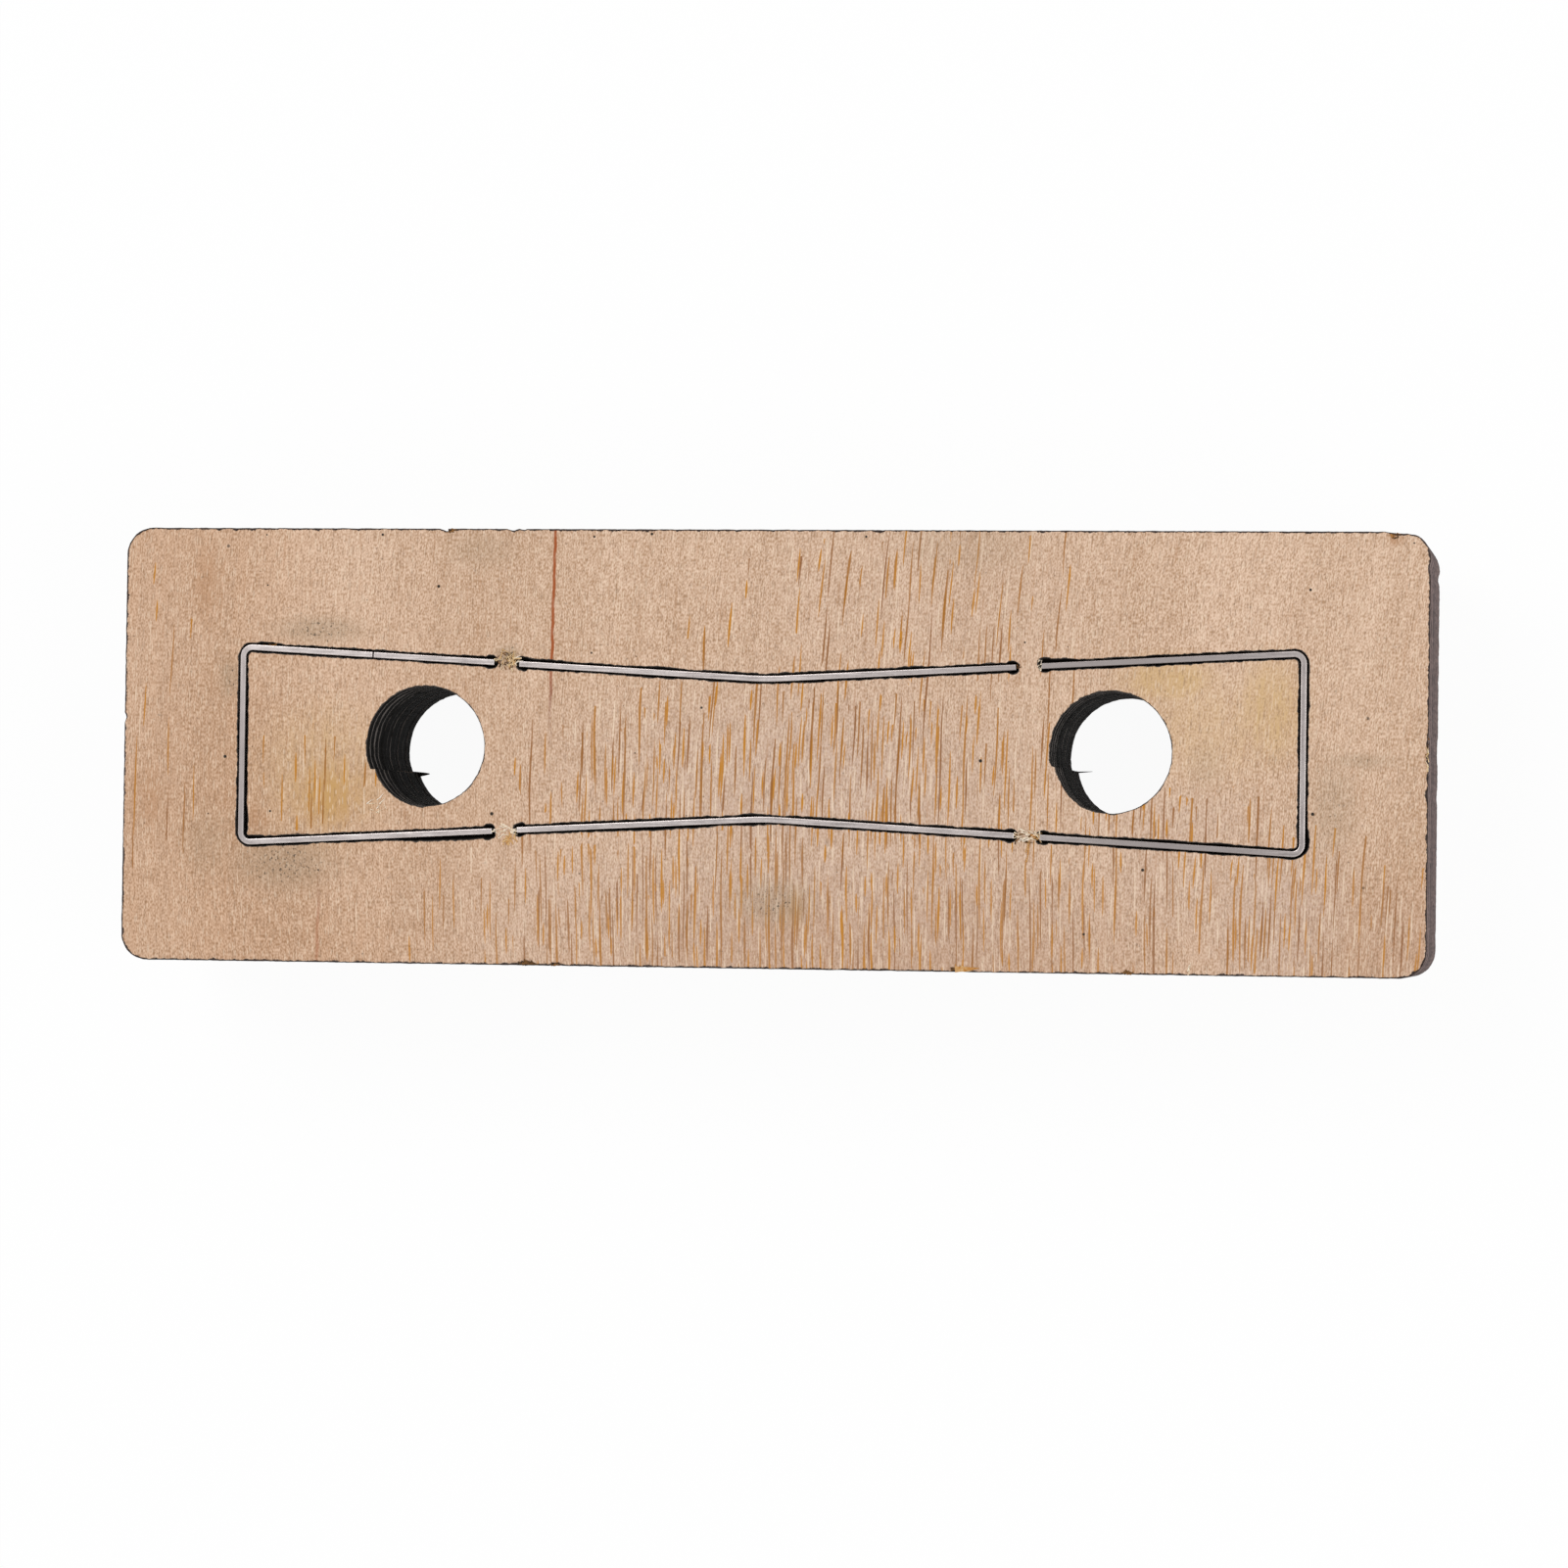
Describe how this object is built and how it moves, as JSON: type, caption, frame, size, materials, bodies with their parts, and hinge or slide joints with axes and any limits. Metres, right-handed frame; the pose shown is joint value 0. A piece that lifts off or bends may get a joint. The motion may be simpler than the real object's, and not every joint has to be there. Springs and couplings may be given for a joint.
{
  "type": "steel rule die",
  "caption": "Plywood cutting die with a bent steel rule in a long bow outline, bridged kerf and round push-out holes, for pressing bow blanks out of sheet stock.",
  "frame": {"origin": "in the plane of the cutting edge, under the middle of the board", "axes": "+X along the board, +Y across it, +Z from the cutting edge to the back of the board"},
  "size_m": [0.12, 0.04, 0.0238],
  "materials": {
    "plywood": "sanded plywood, laser-charred at its cut edges",
    "rule_steel": "bright rolled strip, lightly marked"
  },
  "bodies": {
    "root": {"die_board": "plywood", "cutting_rule": "rule_steel"}
  },
  "joints": []
}
